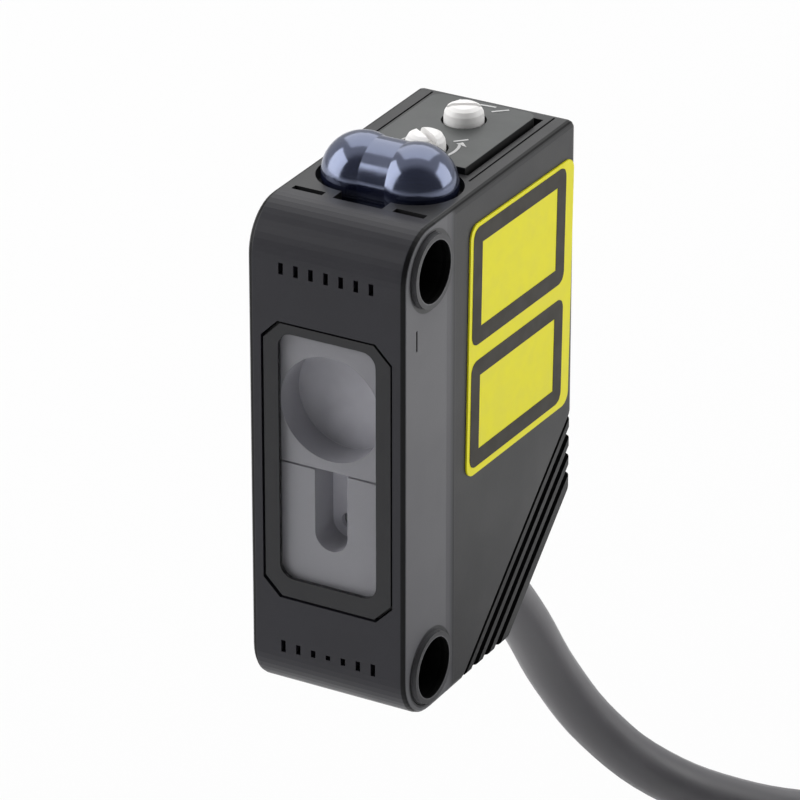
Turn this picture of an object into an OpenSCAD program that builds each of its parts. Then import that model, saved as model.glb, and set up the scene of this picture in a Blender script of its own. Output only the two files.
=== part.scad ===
// Miniature square photoelectric sensor with built-in amplifier and laser light source.
// Units are millimetres, +Z is up and the sensing face looks towards -Y.
// The origin is the middle between the two fixing holes, in the middle of the width.

/* [Body] */
// Width over the two side faces
body_w = 10.4; // [9:0.1:14]
// Width over the raised rims of the fixing holes
boss_w = 10.8; // [9.2:0.1:14.4]
// Depth from the sensing face to the back
body_d = 20.4; // [18:0.1:26]
// Height of the moulded housing
body_h = 31; // [28:0.5:40]
// Radius of the curve from the sensing face to the top
front_r = 2.9; // [2:0.1:4]
// Where the slanted cable face leaves the bottom, from the sensing face
slant_y = 12.84; // [10:0.02:16]
// Where the slanted cable face meets the back, above the bottom
slant_z = 6.72; // [4:0.02:10]
// Wall thickness of the housing
wall = 1.1; // [0.8:0.1:1.6]
// Thickness of the front cover
cover_t = 1.15; // [0.8:0.05:1.6]

/* [Fixing holes] */
// Distance between the two fixing holes
hole_pitch = 25.4; // [20:0.1:30]
// Distance from the sensing face to the hole axes
hole_back = 3.0; // [2.5:0.1:5]
// Radius of the hole through the plastic
hole_r = 1.87; // [1.6:0.01:2.2]
// Radius of the thread core in the metal insert
thread_r = 1.25; // [1:0.05:1.6]
// Length of the metal insert
insert_l = 6.4; // [3:0.1:8]

/* [Front window] */
// Half width of the window opening
win_x = 4.3; // [3:0.1:4.6]
// Bottom of the window opening
win_z0 = 6.6; // [5:0.1:10]
// Top of the window opening
win_z1 = 24.4; // [20:0.1:26]
// Corner cut of the window opening
win_c = 1.1; // [0.5:0.1:2]
// Height of the line between receiver and emitter
split_z = 15.3; // [12:0.1:18]
// Height of the receiver axis
recv_z = 19.3; // [17:0.1:21]
// Height of the emitter axis
emit_z = 11.25; // [9:0.05:13]
// Radius of the receiver opening
recv_r = 3.3; // [2.5:0.1:3.4]
// Radius of the emitter slot
slot_r = 1.07; // [0.8:0.01:1.5]

/* [Top controls] */
// Place of the sensitivity adjuster, from the sensing face
adj_y = 11.57; // [10:0.01:13]
// Place of the mode selector, from the sensing face
sel_y = 16.2; // [15:0.05:17.5]
// Radius of both control heads
knob_r = 1.2; // [1:0.05:1.6]
// Top of the control panel
panel_z = 31.4; // [31:0.05:32]
// Top of the control heads
knob_z = 32.4; // [32:0.1:33.5]
// Place of the indicator dome, from the sensing face
dome_y = 7.4; // [6.5:0.1:8]
// Radius of the two lobes of the indicator dome
dome_r = 2.45; // [2:0.05:2.8]
// Half distance between the two lobes
dome_x = 1.75; // [1:0.05:2.5]

/* [Label] */
// Thickness of the film label
label_t = 0.1; // [0.05:0.05:0.3]
// Turn of the label on the side face
label_turn = -1.5; // [-3:0.5:3]

/* [Cable] */
// Diameter of the round cable
cable_d = 3.2; // [3:0.1:5]
// Mean radius of the coiled length
coil_r = 19.2; // [18:0.1:24]
// Diameter of one insulated core
core_d = 1.2; // [0.8:0.1:1.6]

/* [Hidden] */
// Heights of the two fixing holes above the bottom
hole_lo = (body_h - hole_pitch) / 2;
hole_hi = (body_h + hole_pitch) / 2;
// Unit vectors along and out of the slanted cable face, in Y and Z
slant_l = norm([body_d - slant_y, slant_z]);
along_y = (body_d - slant_y) / slant_l;
along_z = slant_z / slant_l;
// Middle of the slanted face
exit_y = (slant_y + body_d) / 2;
exit_z = slant_z / 2;
// Radius of the small corners of the side outline
corner_r = 0.5;
// Surface that the coiled cable lies on, in the frame of the part
ground = -42.5;
// Centre of the coil
coil_x = 48;
coil_y = 25;
// Thickness of the tie, which lifts the coil
tie_t = 0.4;
// Route of the cable centre from inside the housing to the coil
cable_route = [
    [0, 12.16, -10.5], [0, 15.6, -14.37], [0, 18.6, -17.74], [0.1, 21.4, -21.3],
    [0.6, 24.6, -26.4], [2.2, 27.6, -31.3], [4.9, 30.9, -35.5], [8.6, 34.6, -38.5],
    [12.6, 38.2, -40.2], [17, 41.5, -40.8], [22, 44.5, -40.9], [27.6, 47.1, -40.9],
    [33.7, 48.6, -40.8], [40.5, 49.1, -40.6], [48, 49, -40.5]
];
// Route of the jacketed end that leaves the coil
tail_route = [
    [48, 49, -37.3], [54.5, 48.8, -37.3], [61, 47.6, -37.5], [66.6, 44.9, -38.3],
    [71, 40.4, -39.6], [73.8, 35.2, -40.6], [75, 30, -40.9]
];
// Routes of the three cores from the end of the jacket
core_a_route = [
    [74.4, 29.8, -41.25], [74.4, 24.4, -41.8], [73.9, 18.8, -41.9], [72.6, 13.3, -41.9],
    [70.3, 8.3, -41.9], [67.2, 4, -41.9], [63.6, 0.8, -41.9]
];
core_b_route = [
    [75.6, 30, -41.25], [75.9, 24.2, -41.8], [75.7, 18.4, -41.9], [74.6, 12.7, -41.9],
    [72.5, 7.4, -41.9], [69.7, 2.8, -41.9], [66.6, -0.6, -41.9]
];
core_c_route = [
    [75, 29.9, -40.1], [76.8, 24.7, -40.3], [77.7, 19.2, -41.6], [77.5, 13.4, -41.9],
    [75.9, 7.9, -41.9], [73.6, 2.8, -41.9], [71, -1.6, -41.9]
];
$fn = 24;

// Moves a piece from the housing's own corner frame into the frame of the part
module place() {
    translate([0, -hole_back, -body_h / 2])
        children();
}

// Turns an outline in Y and Z into a solid of width w across X
module across(w) {
    rotate([90, 0, 90])
        linear_extrude(height = w, center = true)
            children();
}

// Side outline of the housing, moved inwards by i
module side_outline(i) {
    hull() {
        translate([front_r, body_h - front_r])
            circle(r = front_r - i, $fn = 48);
        translate([3, 3])
            circle(r = 3 - i, $fn = 48);
        translate([slant_y - 0.19, corner_r])
            circle(r = corner_r - i, $fn = 16);
        translate([body_d - corner_r, slant_z + 0.225])
            circle(r = corner_r - i, $fn = 16);
        translate([body_d - corner_r, body_h - corner_r])
            circle(r = corner_r - i, $fn = 16);
    }
}

// Outer form of the closed housing with its softened edges
module envelope() {
    hull() {
        across(body_w - 0.8)
            side_outline(0);
        across(body_w - 0.4)
            side_outline(0.054);
        across(body_w - 0.108)
            side_outline(0.2);
        across(body_w)
            side_outline(0.4);
    }
}

// Outline of the front zone that the cover takes, round the hole rims of radius r
module front_zone(r) {
    difference() {
        union() {
            translate([-1, -1])
                square([cover_t + 1, body_h + 2]);
            translate([-1, hole_hi])
                square([4.6, 5]);
            translate([-1, -1])
                square([4, hole_lo + 1]);
        }
        translate([hole_back, hole_hi])
            circle(r = r, $fn = 48);
        translate([hole_back, hole_lo])
            circle(r = r, $fn = 48);
    }
}

// Shallow strips on both sides, which narrow the front part of the housing
module side_strips() {
    h = body_w / 2;
    for (s = [-1, 1]) {
        translate([0, 0, -1])
            linear_extrude(height = body_h + 2)
                polygon([
                    [s * (h - 0.08), -1], [s * (h - 0.08), 4.9], [s * (h + 0.02), 5.9],
                    [s * (h + 1), 5.9], [s * (h + 1), -1]
                ]);
    }
}

// Both fixing holes as cylinders of radius r and width w across X
module hole_pair(r, w) {
    for (z = [hole_lo, hole_hi]) {
        translate([0, hole_back, z])
            rotate([0, 90, 0])
                cylinder(h = w, r = r, center = true, $fn = 48);
    }
}

// Window outline with corners cut by c, smaller by i on each side
module window_outline(i, c = win_c) {
    polygon([
        [-win_x + i, win_z0 + i + c], [-win_x + i + c, win_z0 + i],
        [win_x - i - c, win_z0 + i], [win_x - i, win_z0 + i + c],
        [win_x - i, win_z1 - i - c], [win_x - i - c, win_z1 - i],
        [-win_x + i + c, win_z1 - i], [-win_x + i, win_z1 - i - c]
    ]);
}

// Clear opening of the window frame with round corners, smaller by i on each side
module frame_opening(i) {
    x = 3.2 - i;
    hull() {
        for (z = [7.95 + i + 0.9, 23.7 - i - 0.9]) {
            translate([-x + 0.9, z])
                circle(r = 0.9, $fn = 32);
            translate([x - 0.9, z])
                circle(r = 0.9, $fn = 32);
        }
    }
}

// Slab from y0 to y1 with an outline in X and Z
module slab(y0, y1) {
    translate([0, y1, 0])
        rotate([90, 0, 0])
            linear_extrude(height = y1 - y0)
                children();
}

// Housing with hole bosses, slanted cable face, side ribs, top openings and board guides
module case() {
    color([0.2, 0.2, 0.21])
        place()
            difference() {
                union() {
                    difference() {
                        envelope();
                        side_strips();
                        across(20)
                            front_zone(2.3);
                        difference() {
                            case_cavity();
                            hole_pair(2.6, 12);
                            board_guides();
                        }
                    }
                    hole_pair(2.2, boss_w);
                }
                hole_pair(hole_r, 20);
                side_grooves();
                top_openings();
                translate([0, exit_y, exit_z])
                    rotate([atan2(-along_z, -along_y), 0, 0])
                        cylinder(h = 12, r = 2.6, center = true, $fn = 32);
            }
}

// Room inside the housing
module case_cavity() {
    across(body_w - 2 * wall)
        polygon([
            [-1, 1.2], [slant_y - 0.44, 1.2], [body_d - 1.2, 7.25],
            [body_d - 1.2, body_h - 1.2], [-1, body_h - 1.2]
        ]);
}

// Ribs on the inner side walls that hold the circuit boards
module board_guides() {
    for (s = [-1, 1]) {
        for (y = [9.6, 10.9, 14.55, 15.85]) {
            translate([s * 3.75, y + 0.2, 16.5])
                cube([0.9, 0.4, 16.6], center = true);
        }
        translate([s * 3.9, 13.75, 25.1])
            cube([0.6, 10.2, 0.5], center = true);
    }
}

// Four slanting grooves beside the cable face on each side, and the lower level of their ribs
module side_grooves() {
    turn = atan2(along_z, along_y);
    for (s = [-1, 1]) {
        for (k = [0:3]) {
            translate([s * (body_w / 2), 7 + 1.42 * k, 0])
                rotate([turn, 0, 0])
                    cube([0.8, 60, 0.54], center = true);
        }
        translate([s * (body_w / 2), 7, 0])
            rotate([turn, 0, 0])
                translate([-0.12, -30, -6])
                    cube([0.24, 60, 6]);
        translate([s * (body_w / 2), 1.39, 24.45])
            cube([0.8, 0.16, 1.3], center = true);
        translate([s * 4.06, 14.6, body_h])
            cube([0.13, 10.4, 0.26], center = true);
    }
}

// Plan of the two-lobed indicator window, with lobes of radius r
module lobes(r) {
    for (s = [-1, 1]) {
        translate([s * dome_x, dome_y])
            circle(r = r, $fn = 48);
    }
    translate([-dome_x, dome_y - r + 0.15])
        square([2 * dome_x, 2 * r - 0.3]);
}

// Openings in the top for the indicator dome and the control panel
module top_openings() {
    translate([0, 0, 30.2])
        linear_extrude(height = 2)
            intersection() {
                lobes(2.75);
                translate([-5, 0])
                    square([10, 9.95]);
            }
    translate([-1.6, 3, 30.3])
        cube([3.2, 2.6, 2]);
    translate([-3.5, 5.6, 29])
        cube([7, 3.6, 3]);
    translate([-3.62, 10.07, 30.3])
        cube([7.24, 9.18, 2]);
    translate([-3, 10.8, 29])
        cube([6, 7.8, 3]);
    for (s = [-1, 1]) {
        translate([s * 3.3, 3.83, 30.9])
            cube([2, 0.5, 0.9], center = true);
    }
}

// Cover over the sensing face and the curves to the top and the bottom
module front_cover() {
    color([0.17, 0.17, 0.18])
        place()
            difference() {
                union() {
                    intersection() {
                        difference() {
                            envelope();
                            side_strips();
                        }
                        across(20)
                            front_zone(2.35);
                    }
                    slab(cover_t, 1.9)
                        translate([-4, 5.75])
                            square([8, 19.5]);
                }
                slab(-1, cover_t)
                    window_outline(0);
                slab(0, 5)
                    window_outline(0.65, 0.8);
                cover_slots();
            }
}

// Two rows of small blind slots above and below the window
module cover_slots() {
    for (k = [-3:3]) {
        translate([k * 0.98, 0, 27.72])
            cube([0.3, 1.2, 0.72], center = true);
        translate([k * 1.0, 0, 3.4])
            cube([0.3, 1.2, 0.3 + 0.16 * abs(k)], center = true);
    }
}

// Dark clear plate behind the window frame, raised into its opening
module front_window() {
    color([0.3, 0.3, 0.33, 0.6])
        place() {
            slab(0.31, 0.46)
                window_outline(0.14);
            slab(0.1, 0.31)
                frame_opening(0.03);
        }
}

// Opaque frame round the clear part of the window
module window_frame() {
    color([0.16, 0.16, 0.17])
        place()
            slab(0.05, 0.3)
                difference() {
                    window_outline(0.14);
                    frame_opening(0);
                }
}

// Soft frame between the window plate and the cover's ledge
module window_seal() {
    color([0.08, 0.08, 0.08])
        place()
            slab(0.47, cover_t)
                difference() {
                    window_outline(0.05);
                    window_outline(0.65, 0.8);
                }
}

// Upper plate behind the window, with the round opening of the receiver
module receiver_plate() {
    color([0.45, 0.45, 0.47])
        place()
            slab(0.48, 2.6)
                difference() {
                    window_outline(0.7, 0.8);
                    translate([-5, 0])
                        square([10, split_z + 0.06]);
                    translate([0, recv_z])
                        circle(r = recv_r, $fn = 64);
                }
}

// Receiver lens: flat plate with a round lens on its back
module receiver_lens() {
    color([0.75, 0.76, 0.8, 0.5])
        place() {
            slab(2.61, 2.91)
                difference() {
                    window_outline(0.75, 0.8);
                    translate([-5, 0])
                        square([10, split_z + 0.1]);
                }
            intersection() {
                translate([0, -0.75, recv_z])
                    sphere(r = 5, $fn = 64);
                translate([0, 2.8, recv_z])
                    rotate([-90, 0, 0])
                        cylinder(h = 2, r = 2.9, $fn = 48);
            }
        }
}

// Lower plate behind the window, with the slot that the beam leaves through
module emitter_plate() {
    color([0.45, 0.45, 0.47])
        place()
            difference() {
                slab(0.48, 2.9)
                    difference() {
                        window_outline(0.7, 0.8);
                        translate([-5, split_z - 0.06])
                            square([10, 12]);
                    }
                slab(0, 2.6)
                    translate([-slot_r, emit_z])
                        square([2 * slot_r, 8]);
                translate([0, 0, emit_z])
                    rotate([-90, 0, 0])
                        cylinder(h = 2.6, r = slot_r, $fn = 40);
                translate([0, 0, emit_z])
                    rotate([-90, 0, 0])
                        cylinder(h = 4, r = 0.5);
            }
}

// Small round lens in front of the laser diode
module emitter_lens() {
    color([0.8, 0.82, 0.88, 0.5])
        place()
            translate([0, 0, emit_z]) {
                translate([0, 3, 0])
                    rotate([-90, 0, 0])
                        cylinder(h = 0.9, r = 1.48);
                intersection() {
                    translate([0, 1.39, 0])
                        sphere(r = 3, $fn = 48);
                    translate([0, 3.9, 0])
                        rotate([-90, 0, 0])
                            cylinder(h = 1, r = 1.3);
                }
            }
}

// Black block that holds the plates, the lenses, the laser diode and the light paths
module optical_block() {
    color([0.1, 0.1, 0.1])
        place()
            difference() {
                translate([-4, 1.95, 6])
                    cube([8, 6.55, 19.2]);
                slab(1, 2.92)
                    window_outline(0.65, 0.8);
                translate([0, 2.5, recv_z])
                    rotate([-90, 0, 0])
                        cylinder(h = 1.8, r = 2.95, $fn = 48);
                translate([0, 4.29, recv_z])
                    rotate([-90, 0, 0])
                        cylinder(h = 4.3, r1 = 2.95, r2 = 1.3, $fn = 48);
                translate([0, 2.5, emit_z])
                    rotate([-90, 0, 0])
                        cylinder(h = 3.6, r = 1.5);
                translate([0, 6, emit_z])
                    rotate([-90, 0, 0])
                        cylinder(h = 3, r = 1.7);
                translate([0, 7.95, emit_z])
                    rotate([-90, 0, 0])
                        cylinder(h = 3, r = 2);
            }
}

// Laser diode: can, flange and three pins
module laser_diode() {
    color([0.75, 0.7, 0.5])
        place()
            translate([0, 0, emit_z])
                rotate([-90, 0, 0]) {
                    translate([0, 0, 6.15])
                        cylinder(h = 1.85, r = 1.65);
                    translate([0, 0, 7.97])
                        cylinder(h = 0.5, r = 1.95);
                    for (a = [0, 120, 240]) {
                        rotate([0, 0, a])
                            translate([0.9, 0, 8.4])
                                cylinder(h = 1.64, r = 0.2, $fn = 14);
                    }
                }
}

// Light receiving chip behind the receiver lens
module receiver_chip() {
    color([0.15, 0.15, 0.17])
        place()
            translate([-1.5, 9.05, recv_z - 1.5])
                cube([3, 1, 3]);
}

// Thin metal box that shields the receiver from interference
module shield_can() {
    color([0.75, 0.75, 0.76])
        place()
            difference() {
                translate([-2.2, 8.55, recv_z - 2.2])
                    cube([4.4, 1.5, 4.4]);
                translate([-2, 8.75, recv_z - 2])
                    cube([4, 2, 4]);
                translate([0, 8, recv_z])
                    rotate([-90, 0, 0])
                        cylinder(h = 2, r = 1.2);
            }
}

// Upright circuit board with the light receiver and the laser driver
module sensor_board() {
    color([0.1, 0.35, 0.2])
        place()
            translate([-3.5, 10.05, 8.2])
                cube([7, 0.8, 16.4]);
}

// Upright circuit board with the signal and output circuits
module main_board() {
    color([0.1, 0.35, 0.2])
        place()
            translate([-3.5, 15, 8.2])
                cube([7, 0.8, 16.2]);
}

// Connector strip between the two upright boards
module board_link() {
    color([0.12, 0.12, 0.12])
        place()
            translate([-2.8, 10.85, 22.2])
                cube([5.6, 4.15, 1.4]);
}

// Integrated circuit on the main board
module signal_ic() {
    color([0.13, 0.13, 0.14])
        place()
            translate([-2.2, 13.9, 14])
                cube([4.4, 1.1, 4.4]);
}

// Output transistor on the back of the main board
module output_ic() {
    color([0.13, 0.13, 0.14])
        place()
            translate([-1.6, 15.8, 18])
                cube([3.2, 1.1, 2.6]);
}

// Supply capacitor on the back of the sensor board
module capacitor() {
    color([0.75, 0.55, 0.2])
        place()
            translate([-1.7, 10.85, 10.5])
                cube([3.4, 1.7, 2.7]);
}

// Flat circuit board under the top controls
module control_board() {
    color([0.1, 0.35, 0.2])
        place()
            translate([-3.9, 6.1, 25.4])
                cube([7.8, 12.7, 0.6]);
}

// Body of a small rotary part on the control board, centred at y
module rotary_body(y) {
    difference() {
        translate([-1.7, y - 1.7, 26])
            cube([3.4, 3.4, 2.6]);
        translate([0, y, 27])
            cylinder(h = 3, r = 1.3, $fn = 32);
    }
}

// Turning part of a rotary body, with the pin that the head drives
module rotary_rotor(y) {
    translate([0, y, 27.05])
        cylinder(h = 1.45, r = 1.24, $fn = 32);
    translate([0, y, 28.4])
        cylinder(h = 0.9, r = 0.4);
}

// Round head with stem, driver slot of width w and depth d turned by a
module control_head(y, w, d, a) {
    difference() {
        translate([0, y, 0])
            rotate_extrude($fn = 48)
                polygon([
                    [0, 28.65], [0.8, 28.65], [0.8, 31.02], [knob_r, 31.02],
                    [knob_r, knob_z - 0.8], [knob_r - 0.05, knob_z - 0.45],
                    [knob_r - 0.2, knob_z - 0.18], [knob_r - 0.45, knob_z - 0.04], [0, knob_z]
                ]);
        translate([0, y, 28])
            cylinder(h = 1.4, r = 0.42);
        translate([0, y, knob_z])
            rotate([0, 0, a])
                cube([w, 4, 2 * d], center = true);
    }
}

// Sealing ring on the stem of a control head
module stem_ring(y) {
    translate([0, y, 30.58])
        rotate_extrude($fn = 32)
            translate([1.06, 0])
                circle(r = 0.24, $fn = 14);
}

// Body of the sensitivity trimmer
module trimmer_body() {
    color([0.15, 0.2, 0.45])
        place()
            rotary_body(adj_y);
}

// Rotor of the sensitivity trimmer
module trimmer_rotor() {
    color([0.9, 0.9, 0.88])
        place()
            rotary_rotor(adj_y);
}

// Sensitivity adjuster head with a driver slot
module adjuster_knob() {
    color([0.9, 0.9, 0.9])
        place()
            control_head(adj_y, 0.45, 0.55, 55);
}

// Sealing ring of the sensitivity adjuster
module adjuster_oring() {
    color([0.07, 0.07, 0.07])
        place()
            stem_ring(adj_y);
}

// Body of the mode switch
module selector_body() {
    color([0.15, 0.15, 0.16])
        place()
            rotary_body(sel_y);
}

// Rotor of the mode switch
module selector_rotor() {
    color([0.9, 0.9, 0.88])
        place()
            rotary_rotor(sel_y);
}

// Mode selector head with a shallow driver slot
module selector_knob() {
    color([0.9, 0.9, 0.9])
        place()
            control_head(sel_y, 0.35, 0.25, -60);
}

// Sealing ring of the mode selector
module selector_oring() {
    color([0.07, 0.07, 0.07])
        place()
            stem_ring(sel_y);
}

// Small lamp with a round lens on the control board
module lamp(x) {
    translate([x - 0.8, dome_y - 0.65, 26])
        cube([1.6, 1.3, 0.6]);
    translate([x, dome_y, 26.6])
        cylinder(h = 0.5, r1 = 0.6, r2 = 0.35);
}

// Green stability lamp
module stability_led() {
    color([0.3, 0.75, 0.35])
        place()
            lamp(-dome_x);
}

// Amber operation lamp
module operation_led() {
    color([0.95, 0.6, 0.2])
        place()
            lamp(dome_x);
}

// Indicator window: two-lobed dome on an upright skirt, with two light guides
module indicator_window() {
    color([0.35, 0.37, 0.5, 0.7])
        place()
            difference() {
                union() {
                    for (s = [-1, 1]) {
                        translate([s * dome_x, dome_y, 31.1])
                            sphere(r = dome_r, $fn = 48);
                        translate([s * dome_x, dome_y, 27.4])
                            cylinder(h = 3.2, r = 0.8);
                    }
                    translate([0, dome_y, 31.1])
                        rotate([0, 90, 0])
                            cylinder(h = 2 * dome_x, r = dome_r - 0.15, center = true, $fn = 48);
                    translate([0, 0, 30.2])
                        linear_extrude(height = 0.85)
                            lobes(dome_r - 0.08);
                }
                translate([-6, 0, 26])
                    cube([12, dome_y - 0.8, 4.2]);
                translate([-6, dome_y + 0.8, 26])
                    cube([12, 6, 4.2]);
                translate([-6, 6, 26])
                    cube([6 - dome_x - 0.8, 3, 4.2]);
                translate([-dome_x + 0.8, 6, 26])
                    cube([2 * dome_x - 1.6, 3, 4.2]);
                translate([dome_x + 0.8, 6, 26])
                    cube([4, 3, 4.2]);
            }
}

// Raised panel round the two control heads
module control_panel() {
    color([0.33, 0.34, 0.34])
        place()
            difference() {
                translate([0, 0, 30.3])
                    linear_extrude(height = panel_z - 30.3)
                        panel_outline();
                for (y = [adj_y, sel_y]) {
                    translate([0, y, 31])
                        cylinder(h = 2, r = knob_r + 0.15, $fn = 40);
                    translate([0, y, 30])
                        cylinder(h = 2, r = 0.85, $fn = 32);
                    translate([0, y, 30])
                        cylinder(h = 0.85, r = 1.35, $fn = 32);
                }
            }
}

// Outline of the control panel with round rear corners
module panel_outline() {
    difference() {
        translate([-3.4, 10.12])
            square([6.8, 8.88]);
        for (s = [-1, 1]) {
            translate([s * 3.4, 19])
                difference() {
                    square([1.4, 1.4], center = true);
                    translate([-s * 0.7, -0.7])
                        circle(r = 0.7, $fn = 32);
                }
        }
    }
}

// Threaded metal insert in a fixing hole at height z
module insert(z) {
    difference() {
        translate([-boss_w / 2, hole_back, z])
            rotate([0, 90, 0])
                cylinder(h = insert_l, r = hole_r - 0.01, $fn = 48);
        translate([-boss_w / 2 - 1, hole_back, z])
            rotate([0, 90, 0])
                cylinder(h = insert_l + 2, r = thread_r, $fn = 32);
        translate([-boss_w / 2 - 0.01, hole_back, z])
            rotate([0, 90, 0])
                cylinder(h = 0.25, r1 = thread_r + 0.25, r2 = thread_r, $fn = 32);
        for (x = [1.6, 3.2, 4.8]) {
            translate([-boss_w / 2 + x, hole_back, z])
                rotate([0, 90, 0])
                    difference() {
                        cylinder(h = 0.5, r = 3, center = true, $fn = 32);
                        cylinder(h = 1, r = 1.65, center = true, $fn = 32);
                    }
        }
    }
}

// Upper threaded insert
module upper_insert() {
    color([0.25, 0.25, 0.26])
        place()
            insert(hole_hi);
}

// Lower threaded insert
module lower_insert() {
    color([0.25, 0.25, 0.26])
        place()
            insert(hole_lo);
}

// Film label on the right side face
module label() {
    color([0.88, 0.85, 0.2])
        place()
            translate([body_w / 2, 13.52, 21])
                rotate([label_turn, 0, 0])
                    rotate([90, 0, 90])
                        linear_extrude(height = label_t)
                            union() {
                                square([12.6 - 1.6, 15.9], center = true);
                                square([12.6, 15.9 - 1.6], center = true);
                                for (a = [-1, 1]) {
                                    for (b = [-1, 1]) {
                                        translate([a * 5.5, b * 7.15])
                                            circle(r = 0.8, $fn = 24);
                                    }
                                }
                            }
}

// Puts a piece on the slanted face, with its own +Z pointing straight out
module at_exit() {
    translate([0, exit_y, exit_z])
        rotate([atan2(-along_z, -along_y), 0, 0])
            children();
}

// Soft grommet that guides and seals the cable
module cable_grommet() {
    color([0.1, 0.1, 0.1])
        place()
            at_exit()
                difference() {
                    union() {
                        translate([0, 0, -1.3])
                            cylinder(h = 1.3, r = 2.59, $fn = 32);
                        cylinder(h = 0.5, r1 = 2.4, r2 = 1.95, $fn = 32);
                    }
                    translate([0, 0, -3])
                        cylinder(h = 9, r = cable_d / 2 + 0.02, $fn = 32);
                }
}

// Lead from the main board, bent towards the end of the jacket
module inner_lead(x) {
    b = 1.2;
    turn = atan2(along_z, along_y);
    c = [x, exit_y - 2.7 * along_z + b * along_y, exit_z + 2.7 * along_y + b * along_z];
    bend = [for (k = [0:4]) c - b * [0, cos(turn * k / 4), sin(turn * k / 4)]];
    place()
        tube(concat([c + [0, -b, 3.2]], bend, [bend[4] + [0, 0.5 * along_z, -0.5 * along_y]]), 0.4, 10);
}

// Brown supply lead inside the housing
module lead_brown() {
    color([0.4, 0.22, 0.12])
        inner_lead(-1.05);
}

// Blue supply lead inside the housing
module lead_blue() {
    color([0.15, 0.3, 0.7])
        inner_lead(0);
}

// Black output lead inside the housing
module lead_black() {
    color([0.1, 0.1, 0.1])
        inner_lead(1.05);
}

// Unit vector
function unit(v) = v / norm(v);
// Direction of a route at its point i
function heading(p, i) = unit(p[min(i + 1, len(p) - 1)] - p[max(i - 1, 0)]);
// Level vector to the side of a direction
function aside(d) = norm([d[0], d[1]]) < 0.001 ? [1, 0, 0] : unit([d[1], -d[0], 0]);
// One ring of n points round the point i of a route
function ring(p, i, r, n) = let (d = heading(p, i), u = aside(d), v = cross(u, d)) [
    for (k = [0:n - 1]) p[i] + r * cos(360 * k / n) * u + r * sin(360 * k / n) * v
];

// Closed tube of radius r with n sides along a route
module tube(p, r, n) {
    m = len(p);
    pts = [for (i = [0:m - 1]) each ring(p, i, r, n)];
    sides = [
        for (i = [0:m - 2]) for (k = [0:n - 1])
            [i * n + k, i * n + (k + 1) % n, (i + 1) * n + (k + 1) % n, (i + 1) * n + k]
    ];
    first = [for (k = [0:n - 1]) n - 1 - k];
    last = [for (k = [0:n - 1]) (m - 1) * n + k];
    polyhedron(points = pts, faces = concat([first], sides, [last]), convexity = 6);
}

// Cable from inside the housing to the coil
module cable() {
    color([0.37, 0.37, 0.39])
        tube(cable_route, cable_d / 2, 8);
}

// Coiled length of the cable: four layers of four turns
module cable_coil() {
    color([0.37, 0.37, 0.39])
        translate([coil_x, coil_y, ground + tie_t])
            rotate_extrude($fn = 64)
                translate([coil_r - 2 * cable_d, 0])
                    square(4 * cable_d);
}

// Jacketed end of the cable after the coil
module cable_tail() {
    color([0.37, 0.37, 0.39])
        tube(tail_route, cable_d / 2, 8);
}

// Strap that holds the coil together
module coil_tie() {
    w = 4 * cable_d;
    color([0.12, 0.12, 0.12])
        translate([coil_x, coil_y, ground])
            rotate([90, 0, -110])
                translate([coil_r - 2 * cable_d, 0])
                    linear_extrude(height = 5, center = true)
                        difference() {
                            translate([-0.7, 0])
                                square([w + 1.4, w + 2 * tie_t]);
                            translate([-0.3, tie_t])
                                square([w + 0.6, w]);
                        }
}

// Brown core at the free end
module core_brown() {
    color([0.4, 0.22, 0.12])
        tube(core_a_route, core_d / 2, 8);
}

// Blue core at the free end
module core_blue() {
    color([0.15, 0.3, 0.7])
        tube(core_b_route, core_d / 2, 8);
}

// Black core at the free end
module core_black() {
    color([0.1, 0.1, 0.1])
        tube(core_c_route, core_d / 2, 8);
}

case();
front_cover();
front_window();
window_frame();
window_seal();
receiver_plate();
receiver_lens();
emitter_plate();
emitter_lens();
optical_block();
laser_diode();
receiver_chip();
shield_can();
sensor_board();
main_board();
board_link();
signal_ic();
output_ic();
capacitor();
control_board();
trimmer_body();
trimmer_rotor();
adjuster_knob();
adjuster_oring();
selector_body();
selector_rotor();
selector_knob();
selector_oring();
stability_led();
operation_led();
indicator_window();
control_panel();
upper_insert();
lower_insert();
label();
cable_grommet();
lead_brown();
lead_blue();
lead_black();
cable();
cable_coil();
cable_tail();
coil_tie();
core_brown();
core_blue();
core_black();
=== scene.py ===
import math

import bpy
from bpy.props import FloatProperty, FloatVectorProperty, IntProperty, PointerProperty
from mathutils import Matrix, Vector


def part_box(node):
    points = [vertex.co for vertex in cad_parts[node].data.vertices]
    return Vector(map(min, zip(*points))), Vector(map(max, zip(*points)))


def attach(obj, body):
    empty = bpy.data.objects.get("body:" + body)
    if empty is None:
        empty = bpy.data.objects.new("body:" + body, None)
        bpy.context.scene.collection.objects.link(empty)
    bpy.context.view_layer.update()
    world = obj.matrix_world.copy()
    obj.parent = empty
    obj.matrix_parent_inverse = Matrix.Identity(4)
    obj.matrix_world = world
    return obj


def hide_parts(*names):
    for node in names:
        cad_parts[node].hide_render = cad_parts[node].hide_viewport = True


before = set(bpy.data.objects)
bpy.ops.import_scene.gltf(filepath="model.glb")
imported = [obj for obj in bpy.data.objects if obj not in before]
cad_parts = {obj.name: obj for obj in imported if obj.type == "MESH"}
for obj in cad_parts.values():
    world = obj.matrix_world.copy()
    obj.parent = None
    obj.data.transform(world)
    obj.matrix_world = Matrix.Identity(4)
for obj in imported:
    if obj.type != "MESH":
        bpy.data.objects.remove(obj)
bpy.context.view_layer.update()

bl_info = {
    "name": "Laser photoelectric sensor",
    "version": (1, 0, 0),
    "blender": (4, 5, 0),
    "location": "View3D > Sidebar > Sensor",
    "description": "Finishes, prints, cable, light and camera of a miniature photoelectric sensor",
    "category": "Object",
}

MM = 0.001
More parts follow.
